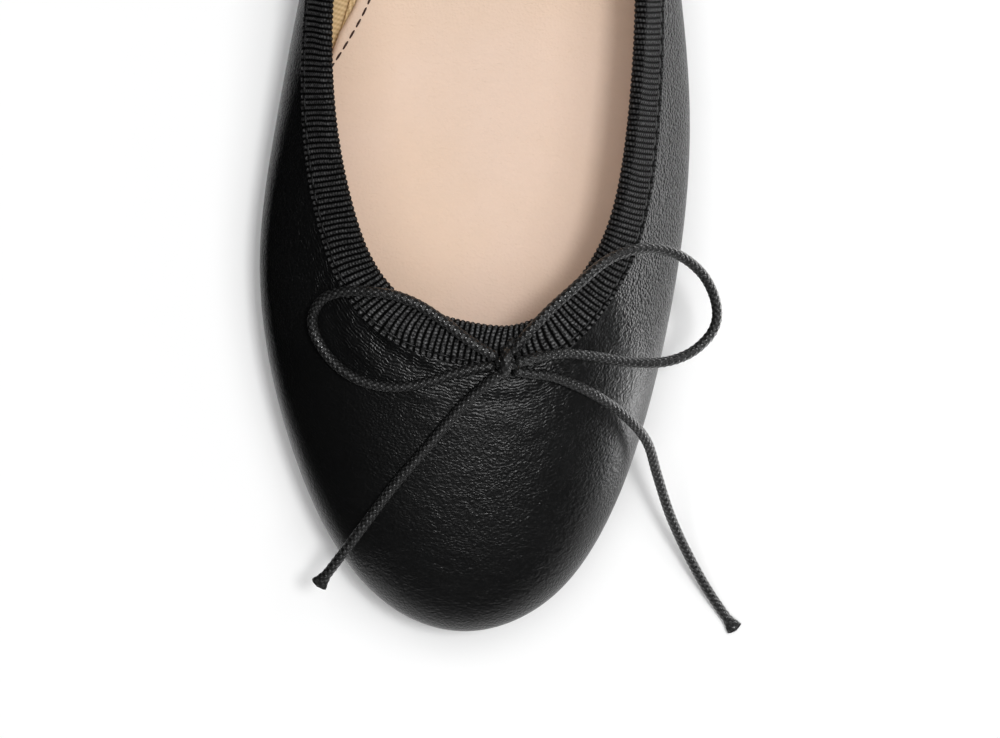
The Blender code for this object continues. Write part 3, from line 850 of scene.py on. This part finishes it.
def sew_band():
    around = even_starts(1)[1]
    count = int(round(around * 1.04 / STITCH))
    starts, _ = even_starts(count)
    points, normals = topline_walk(starts, (BAND_WIDTH - SEAM_IN,))
    seat = points[0] + normals[0] * (BAND_OFF + RIBBON - SEAM_DEPTH)
    return stitch_row("topline_binding_stitches", seat, normals[0], THREAD, STITCH_SHARE)


band_stitches = sew_band()
band_stitches.data.materials.append(
    thread_finish("black_thread", grey(0.006), (0.030, 0.030, 0.031, 1.0), 0.4)
)
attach(band_stitches, "root")


# The insole. A board that lies on the turned-under margin of the upper and fills the shoe's floor. It is
# covered with the same beige twill as the rear lining, which shows at the cut-in of the sock.
INSOLE_THICKNESS = 0.0025
SOCK_THICKNESS = 0.0009
INSOLE_FLARE = 0.0012
BOARD_EDGE = 0.0004
CAD_WALL = 0.0016
PLATE_MAP_WIDTH = 0.08


def plate_outline(extra_inset):
    """The feather outline moved inwards: its toe, its back, and its inner and outer x at places between."""
    at = rib(np.linspace(0.0, 1.0, 1441)[:-1])
    inset = at["inset"] + extra_inset
    x = at["x"] + at["in_x"] * inset
    y = at["y"] + at["in_y"] * inset
    toe, back, count = int(np.argmin(y)), int(np.argmax(y)), len(y)
    outer = np.arange(toe, back + 1) if toe < back else np.arange(toe, back + 1 + count) % count
    inner = (np.arange(back, back + count - len(outer) + 2) % count)[::-1]

    def sides(ys):
        return np.interp(ys, y[inner], x[inner]), np.interp(ys, y[outer], x[outer])

    return y[toe], y[back], sides


def lay_plate(u, v):
    return u * PLATE_MAP_WIDTH, v * LENGTH


def plate(name, columns_of, extra_inset, rows, start=0.0):
    """A closed plate inside the feather outline; columns_of(y, inner, outer) gives its section."""
    toe, back, sides = plate_outline(extra_inset)
    bow = np.linspace(0.0, 1.0, rows + 1)
    spread = 0.5 * (1.0 - np.cos(math.pi * bow)) if start <= toe else np.sin(0.5 * math.pi * bow)
    low = max(start, toe)
    ys = low + (back - low) * spread
    inner_x, outer_x = sides(ys)
    section = columns_of(ys, inner_x, outer_x)
    section.append(section[0])
    count = len(section) - 1

    def place(u, v):
        row = nearest(v, rows)
        column = nearest(u, count)
        xs = np.array([np.broadcast_to(pair[0], ys.shape) for pair in section])
        zs = np.array([np.broadcast_to(pair[1], ys.shape) for pair in section])
        return np.stack([xs[column, row] - CENTRE_X, ys[row] - CENTRE_Y, zs[column, row]], axis=-1)

    return shaped_sheet(name, count, rows, place, lay_plate)


def slab_section(inner, outer, under, top, edge, flare=0.0):
    """Section of a slab with round edges, from the middle of the top outwards, under it and back."""
    cut = np.minimum(edge, 0.2 * (outer - inner))
    lift = np.minimum(edge, 0.45 * np.min(top - under))
    turns = np.radians((90.0, 60.0, 30.0, 0.0))
    wall = [(flare - support * cut, top) for support in (4.0, 2.0)]
    wall += [(flare - cut * (1 - math.cos(turn)), top - lift * (1 - math.sin(turn))) for turn in turns]
    wall += [(-cut * (1 - math.cos(turn)), under + lift * (1 - math.sin(turn))) for turn in turns[::-1]]
    wall += [(-support * cut, under) for support in (2.0, 4.0)]
    middle = 0.5 * (inner + outer)
    outer_half = [(middle, top)] + [(outer + out, height) for out, height in wall]
    return outer_half + [(middle, under)] + [(inner - out, height) for out, height in wall[::-1]]


def board_section(y, inner, outer):
    floor = feather_height(y / LENGTH) + CAD_WALL + SEAT_GAP
    top = floor + INSOLE_THICKNESS - SOCK_THICKNESS
    return slab_section(inner, outer, floor, top, BOARD_EDGE, INSOLE_FLARE)


def twill_finish():
    """The quarters' twill again, with its ribs along the shoe."""
    finish = Finish("beige_twill")
    place = finish.place()
    colour, weave = cotton_twill(finish, finish.part(place, 1), finish.part(place, 0))
    relief = finish.relief(weave, 0.00008)
    varying = {"Base Color": colour, "Normal": relief}
    return finish.finished(varying, {"Roughness": 0.85, "Specular IOR Level": 0.2})


twill = twill_finish()
board = plate("insole_board", board_section, SEAT_GAP, 160)
board.data.materials.append(twill)
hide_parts("insole")
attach(board, "root")


# The sock. One sheet of nude leather glued over the board. On the inner side it is cut in along the arch
# and sewn with brown thread 2.3 mm from that edge, and everywhere else it runs out to the wall.
SOCK_COLUMNS = 64
SOCK_ROWS = 240
DISH_RISE = 0.0009
EDGE_DROOP = 0.0004
DROOP_WIDTH = 0.0008
SOCK_STITCH_IN = 0.0023
SOCK_STITCH = 0.0025
SOCK_STITCH_SHARE = 0.82
SOCK_THREAD = 0.00042
SOCK_STITCH_RISE = 0.00010
SEWN_FROM = 0.108
SEWN_TO = 0.194
# Distance from the toe and x of the cut arch edge
ARCH_EDGE = (
    (0.100, -0.0362), (0.108, -0.0318), (0.1143, -0.0275), (0.1229, -0.0226),
    (0.136, -0.0188), (0.150, -0.0172), (0.165, -0.0178), (0.178, -0.0205),
    (0.190, -0.0262), (0.198, -0.0330),
)


def arch_edge(y):
    """x of the cut edge at a distance from the toe, on a smooth curve through the table."""
    table = np.array(ARCH_EDGE)
    fine = np.linspace(table[0, 0], table[-1, 0], 200)
    rough = np.interp(fine, table[:, 0], table[:, 1])
    kernel = np.hanning(25)
    smooth = np.convolve(np.pad(rough, 12, mode="edge"), kernel / kernel.sum(), mode="valid")
    return np.interp(y, fine, smooth, left=-1.0, right=-1.0)


def sock_top(y, share):
    """Height of the sock: a shallow dish that rises towards the wall."""
    dish = DISH_RISE * np.abs(2.0 * share - 1.0) ** 2.5
    return feather_height(y / LENGTH) + CAD_WALL + SEAT_GAP + INSOLE_THICKNESS + dish


def make_sock():
    toe, back, sides = plate_outline(SEAT_GAP - INSOLE_FLARE)
    ys = toe + (back - toe) * 0.5 * (1.0 - np.cos(math.pi * np.linspace(0.0, 1.0, SOCK_ROWS + 1)))
    outline_in, outer_x = sides(ys)
    inner_x = np.maximum(outline_in, arch_edge(ys) + CENTRE_X)

    def place(u, v):
        row = nearest(v, SOCK_ROWS)
        wide = outer_x[row] - inner_x[row]
        across = (1.0 - u) * inner_x[row] + u * outer_x[row]
        whole = np.maximum(outer_x[row] - outline_in[row], 1e-6)
        share = np.clip((across - outline_in[row]) / whole, 0.0, 1.0)
        droop = EDGE_DROOP * (1.0 - np.clip(u * wide / DROOP_WIDTH, 0.0, 1.0)) ** 2
        height = sock_top(ys[row], share) - droop
        return np.stack([across - CENTRE_X, ys[row] - CENTRE_Y, height], axis=-1)

    sock = shaped_sheet("sock", SOCK_COLUMNS, SOCK_ROWS, place, lay_plate)
    give_wall(sock, SOCK_THICKNESS)
    return sock


def nude_leather():
    """Smooth aniline leather: fine creases and pores in a pale skin that is warmer here and there."""
    finish = Finish("nude_sock_leather")
    place = finish.place()
    broad = finish.noise(place, 28.0, 3.0)
    mottle = finish.noise(place, 240.0, 4.0)
    creases = finish.noise(finish.stretched(place, (900.0, 1500.0, 900.0)), 1.0, 3.0, 0.5, 0.8)
    pores = finish.cells(place, 1700.0)
    pale = finish.mix(mottle, (0.680, 0.520, 0.415, 1.0), (0.715, 0.552, 0.448, 1.0))
    warm = finish.mix(mottle, (0.660, 0.500, 0.385, 1.0), (0.700, 0.530, 0.410, 1.0))
    colour = finish.mix(broad.ramp(0.35, 0.65), warm, pale)
    relief = finish.relief(creases + 0.5 * pores, 0.00012)
    rough = 0.5 + 0.12 * mottle
    varying = {"Base Color": colour, "Roughness": rough, "Normal": relief}
    return finish.finished(varying, {"Specular IOR Level": 0.35})


sock = make_sock()
sock.data.materials.append(nude_leather())
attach(sock, "root")


def sew_sock():
    ys = np.arange(SEWN_FROM, SEWN_TO, 0.0002)
    xs = arch_edge(ys)
    slope = np.gradient(xs, ys)
    size = np.hypot(1.0, slope)
    line = np.stack([xs + SOCK_STITCH_IN / size, ys - SOCK_STITCH_IN * slope / size], axis=-1)
    walked = np.append(0.0, np.cumsum(np.hypot(*np.diff(line, axis=0).T)))
    holes = np.arange(0.0, walked[-1], SOCK_STITCH)
    hx, hy = np.interp(holes, walked, line[:, 0]), np.interp(holes, walked, line[:, 1])
    left, right = (side - CENTRE_X for side in plate_outline(SEAT_GAP - INSOLE_FLARE)[2](hy))
    hz = sock_top(hy, (hx - left) / (right - left)) + SOCK_STITCH_RISE
    points = np.stack([hx, hy - CENTRE_Y, hz], axis=-1)
    normals = np.tile((0.0, 0.0, 1.0), (len(points), 1))
    return stitch_row("sock_stitches", points, normals, SOCK_THREAD, SOCK_STITCH_SHARE)


sock_stitches = sew_sock()
sock_stitches.data.materials.append(
    thread_finish("brown_thread", (0.018, 0.006, 0.005, 1.0), (0.05, 0.02, 0.014, 1.0), 0.6)
)
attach(sock_stitches, "root")


# The outsole. A thin black moulded sole, cemented under the turned margin and lipping out a little round
# the upper. It springs up at the toe and rises over the arch to the heel.
SOLE_LIP = 0.0015
OUTSOLE_EDGE = 0.0006


def outsole_section(y, inner, outer):
    under = sole_underside(y / LENGTH)
    return slab_section(inner, outer, under, under + SOLE_THICKNESS, OUTSOLE_EDGE)


def sole_finish(name, dark, light):
    """Moulded rubber: faint flow marks and a dulled, lightly scuffed skin."""
    finish = Finish(name)
    place = finish.place()
    flow = finish.noise(finish.stretched(place, (90.0, 30.0, 300.0)), 1.0, 4.0)
    stipple = finish.cells(place, 1400.0)
    scuff = finish.noise(finish.stretched(place, (60.0, 900.0, 60.0)), 1.0, 3.0)
    colour = finish.mix(flow, grey(dark), grey(light))
    rough = 0.5 + 0.15 * flow + 0.1 * scuff
    relief = finish.relief(stipple + scuff * 0.5, 0.00004)
    return finish.finished({"Base Color": colour, "Roughness": rough, "Normal": relief}, {})


outsole = plate("outsole_moulded", outsole_section, -SOLE_LIP, 200)
outsole.data.materials.append(sole_finish("black_sole_rubber", 0.010, 0.018))
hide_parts("outsole")
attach(outsole, "root")


# The heel. A low black block under the seat, and on the floor a rubber top-piece that is a little
# smaller than the block.
HEEL_LENGTH = 0.062
HEEL_TAPER = 0.0012
TOP_PIECE = 0.0027
TOP_PIECE_JOINT = 0.00005
HEEL_EDGE = 0.00025
HEEL_BREAST = LENGTH - HEEL_LENGTH


def heel_slab(under, top):
    def section(y, inner, outer):
        full = HEEL_HEIGHT - SEAT_GAP
        low = np.minimum(HEEL_TAPER * (1.0 - 0.5 * (under + top) / full), 0.2 * (outer - inner))
        ones = np.ones_like(y)
        return slab_section(inner + low, outer - low, under * ones, top * ones, HEEL_EDGE)

    return section


for name, under, top, cover, dark, light in (
    ("heel_block", TOP_PIECE + TOP_PIECE_JOINT, HEEL_HEIGHT - SEAT_GAP, "black_heel_cover", 0.008, 0.015),
    ("heel_top_piece", 0.0, TOP_PIECE, "black_top_piece", 0.014, 0.022),
):
    part = plate(name, heel_slab(under, top), 0.0, 90, HEEL_BREAST)
    part.data.materials.append(sole_finish(cover, dark, light))
    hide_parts("heel")
    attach(part, "root")


# The bow. A waxed round braid, 2 mm thick, that comes out of the binding at the throat and is tied in a
# small hard knot with two loops and two tails. Both tails end in a sealed cut, pressed flat to a fan.
CORD = 0.0020
# Where the knot sits, and the routes of the loops and tails
KNOT_AT = (0.0039, -0.0722, 0.0384)
MEDIAL_LOOP = (
    (0.0023, -0.0713, 0.0396), (-0.0029, -0.0681, 0.0398), (-0.0075, -0.0646, 0.0398),
    (-0.0124, -0.0614, 0.0397), (-0.0170, -0.0596, 0.0393), (-0.0218, -0.0589, 0.0381),
    (-0.0263, -0.0589, 0.0362), (-0.0300, -0.0602, 0.0338), (-0.0318, -0.0631, 0.0318),
    (-0.0316, -0.0664, 0.0307), (-0.0293, -0.0705, 0.0306), (-0.0257, -0.0740, 0.0316),
    (-0.0211, -0.0761, 0.0329), (-0.0162, -0.0767, 0.0342), (-0.0110, -0.0759, 0.0354),
    (-0.0051, -0.0740, 0.0367), (-0.0010, -0.0731, 0.0375), (0.0020, -0.0727, 0.0381),
)
LATERAL_LOOP = (
    (0.0051, -0.0706, 0.0386), (0.0067, -0.0681, 0.0394), (0.0114, -0.0629, 0.0401),
    (0.0160, -0.0587, 0.0403), (0.0221, -0.0535, 0.0398), (0.0272, -0.0512, 0.0385),
    (0.0321, -0.0506, 0.0365), (0.0370, -0.0518, 0.0341), (0.0415, -0.0549, 0.0317),
    (0.0442, -0.0590, 0.0299), (0.0451, -0.0633, 0.0287), (0.0438, -0.0669, 0.0281),
    (0.0399, -0.0703, 0.0284), (0.0346, -0.0720, 0.0295), (0.0284, -0.0720, 0.0312),
    (0.0221, -0.0711, 0.0337), (0.0158, -0.0704, 0.0365), (0.0105, -0.0710, 0.0387),
    (0.0057, -0.0722, 0.0398),
)
MEDIAL_TAIL = (
    (0.0030, -0.0741, 0.0394), (0.0009, -0.0756, 0.0385), (-0.0020, -0.0782, 0.0370),
    (-0.0050, -0.0813, 0.0357), (-0.0109, -0.0885, 0.0332), (-0.0166, -0.0953, 0.0305),
    (-0.0224, -0.1033, 0.0269), (-0.0268, -0.1094, 0.0239), (-0.0306, -0.1145, 0.0215),
)
LATERAL_TAIL = (
    (0.0053, -0.0736, 0.0380), (0.0088, -0.0742, 0.0375), (0.0129, -0.0747, 0.0364),
    (0.0191, -0.0771, 0.0338), (0.0242, -0.0799, 0.0307), (0.0288, -0.0833, 0.0273),
    (0.0325, -0.0876, 0.0231), (0.0350, -0.0937, 0.0177), (0.0381, -0.1014, 0.0123),
    (0.0417, -0.1084, 0.0077), (0.0460, -0.1157, 0.0040), (0.0495, -0.1208, 0.0020),
    (0.0528, -0.1252, 0.0012),
)
BRAID_STRANDS = 6
BRAID_PITCH = 0.00128
BRAID_RELIEF = 0.00013
CORD_STEP = 0.00016
CORD_SIDES = 24
FAN_LENGTH = 0.0030
FAN_WIDTH = 0.0036
FAN_THICKNESS = 0.0009
FAN_BOW = 0.00045
FIBRE = 0.00012
END_ROUND = 0.4 * CORD


def even_route(points, step):
    """Evenly spaced points of a smooth curve through a route's own points, and its length."""
    route = np.array(points, float)
    padded = np.vstack([2 * route[0] - route[1], route, 2 * route[-1] - route[-2]])
    fine = []
    for a, b, c, d in zip(padded, padded[1:], padded[2:], padded[3:]):
        for t in np.linspace(0.0, 1.0, 24, endpoint=False):
            pull = (c - a) * t + (2 * a - 5 * b + 4 * c - d) * t**2 + (3 * b - a - 3 * c + d) * t**3
            fine.append(b + 0.5 * pull)
    fine = np.array([*fine, route[-1]])
    walked = np.append(0.0, np.cumsum(np.linalg.norm(np.diff(fine, axis=0), axis=1)))
    count = max(3, round(walked[-1] / step) + 1)
    places = np.linspace(0.0, walked[-1], count)
    line = np.stack([np.interp(places, walked, fine[:, axis]) for axis in range(3)], axis=-1)
    for _ in range(12):
        line[1:-1] = 0.5 * line[1:-1] + 0.25 * (line[:-2] + line[2:])
    return line, walked[-1]


def side_frames(line):
    """The way along a line with a level side and an upward direction at each of its points."""
    way = unit(np.gradient(line, axis=0))
    level = np.cross((0.0, 0.0, 1.0), way)
    for k in range(1, len(level)):
        if np.dot(level[k], level[k]) < 0.04:
            level[k] = level[k - 1]
    side = unit(level - way * np.sum(level * way, axis=-1, keepdims=True))
    return way, side, np.cross(way, side)


def braid_height(turn, walked):
    """Relief of a round braid, from 0 in its gaps to 1 on its picks."""
    return 0.5 + 0.5 * np.cos(BRAID_STRANDS * turn) * np.cos(2.0 * math.pi * walked / BRAID_PITCH)


def braided_cord(name, points, fan, girth=1.0):
    """A mesh tube of braid along a route, with a flat fan at its far end where asked."""
    line, length = even_route(points, CORD_STEP)
    way, side, up = side_frames(line)
    rows = len(line) - 1
    walked = np.linspace(0.0, length, rows + 1)
    left = length - walked
    wide = np.full(rows + 1, 0.5 * CORD * girth)
    tall = np.full(rows + 1, 0.5 * CORD * girth)
    if fan:
        press = 1.0 - np.clip(left / FAN_LENGTH, 0.0, 1.0)
        wide = wide + (0.5 * FAN_WIDTH - wide) * press**1.5
        tall = tall + (0.5 * FAN_THICKNESS - tall) * ease(press, 0.0, 0.8)
        cut_round = FIBRE
    else:
        press = np.zeros(rows + 1)
        cut_round = END_ROUND
    close = np.sqrt(1.0 - (1.0 - np.clip(left / cut_round, 0.0, 1.0)) ** 2)
    start = np.sqrt(1.0 - (1.0 - np.clip(walked / END_ROUND, 0.0, 1.0)) ** 2)
    ends = close * start

    def place(u, v):
        row = nearest(v, rows)
        turn = 2.0 * math.pi * u
        relief = BRAID_RELIEF * (braid_height(turn, walked[row]) - 0.85) * (1.0 - 0.5 * press[row])
        across = (wide[row] + relief) * ends[row] * np.cos(turn)
        raised = (tall[row] + relief) * ends[row] * np.sin(turn)
        # the sealed cut is a shallow bow with a few proud fibres
        share = np.clip(across / (0.5 * FAN_WIDTH), -1.0, 1.0)
        proud = FAN_BOW * (1.0 - share**2) + FIBRE * np.sin(9.0 * share + 1.0)
        proud = proud * np.clip(2.5 * press[row] - 1.5, 0.0, 1.0)
        offset = side[row] * across[:, None] + up[row] * raised[:, None] + way[row] * proud[:, None]
        return line[row] + offset

    made = shaped_sheet(name, CORD_SIDES, rows, place, lambda u, v: (u, v * length))
    return made, line, length


def waxed_braid():
    """Black waxed polyester: the picks are glossier and carry a painted sheen, and the gaps between them
    carry painted shade.
    """
    finish = Finish("waxed_black_braid")
    cut = finish.cut()
    place = finish.place()
    turn, walked = finish.part(cut, 0), finish.part(cut, 1)
    quarter = 0.5 * math.pi
    round_it = (turn * (2.0 * math.pi * BRAID_STRANDS) + quarter).sine()
    along_it = (walked * (2.0 * math.pi / BRAID_PITCH) + quarter).sine()
    picks = (round_it * along_it).ramp(-0.35, 0.75)
    wax = finish.noise(place, 1500.0, 3.0, 0.6)
    patches = finish.noise(place, 260.0, 2.0)
    # painted sheen: the picks are painted lighter than the black cord, more so in random patches of wax
    wax_and_painted_sheen = finish.mix(wax.ramp(0.3, 0.7), (0.009, 0.009, 0.0092, 1.0), (0.044, 0.044, 0.0445, 1.0))
    # painted shade: the gaps between the picks are painted near black
    colour = finish.mix(picks, grey(0.0008), wax_and_painted_sheen)
    relief = finish.relief(picks + wax * 0.3, 0.00006)
    rough = 0.50 - 0.32 * picks + 0.12 * patches
    varying = {"Base Color": colour, "Roughness": rough, "Normal": relief}
    return finish.finished(varying, {"Specular IOR Level": 0.9})


waxed = waxed_braid()


def lay_cord(name, node, points, fan):
    made, line, length = braided_cord(name, points, fan)
    made.data.materials.append(waxed)
    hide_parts(node)
    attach(made, "root")


lay_cord("bow_loop_medial_cord", "bow_loop_medial", MEDIAL_LOOP, False)
lay_cord("bow_loop_lateral_cord", "bow_loop_lateral", LATERAL_LOOP, False)
lay_cord("bow_tail_medial_cord", "bow_tail_medial", MEDIAL_TAIL, True)
lay_cord("bow_tail_lateral_cord", "bow_tail_lateral", LATERAL_TAIL, True)


# The knot. Its own turns of the same cord: one wrapped round the waist of the bow, the waist itself, the
# strand that crosses under them and the drawstring's strand from the throat, given from KNOT_AT.
KNOT_WRAP = (
    (0.0001, 0.0019, -0.0014), (0.0002, 0.0022, -0.0002), (0.0002, 0.0016, 0.0010),
    (0.0000, 0.0002, 0.0016), (-0.0002, -0.0013, 0.0010), (-0.0003, -0.0020, -0.0002),
    (-0.0003, -0.0018, -0.0014),
)
KNOT_WAIST = (
    (-0.0019, 0.0007, 0.0002), (-0.0009, 0.0003, 0.0002), (0.0002, 0.0001, 0.0001),
    (0.0012, -0.0002, 0.0000), (0.0019, -0.0010, -0.0002),
)
STRAND_UNDER = (
    (-0.0018, -0.0006, -0.0009), (-0.0006, -0.0004, -0.0006), (0.0006, 0.0004, -0.0006),
    (0.0014, 0.0013, -0.0005),
)
THROAT_STRAND = (
    (0.0012, 0.0044, -0.0012), (0.0012, 0.0036, -0.0004), (0.0008, 0.0024, -0.0004),
    (0.0004, 0.0010, -0.0006), (0.0001, 0.0000, -0.0006),
)


def knot_turns():
    made = []
    for name, offsets, girth in (
        ("wrap", KNOT_WRAP, 1.15), ("waist", KNOT_WAIST, 1.0), ("under", STRAND_UNDER, 1.0),
        ("throat", THROAT_STRAND, 1.0),
    ):
        points = np.array(offsets) + KNOT_AT
        turn, _, _ = braided_cord("bow_knot_" + name, points, False, girth)
        made.append(turn)
    bpy.ops.object.select_all(action="DESELECT")
    for turn in made:
        turn.select_set(True)
    bpy.context.view_layer.objects.active = made[0]
    bpy.ops.object.join()
    knot = bpy.context.active_object
    knot.name = "bow_knot_turns"
    return knot


knot = knot_turns()
knot.data.materials.clear()
knot.data.materials.append(waxed)
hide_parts("bow_knot")
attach(knot, "root")
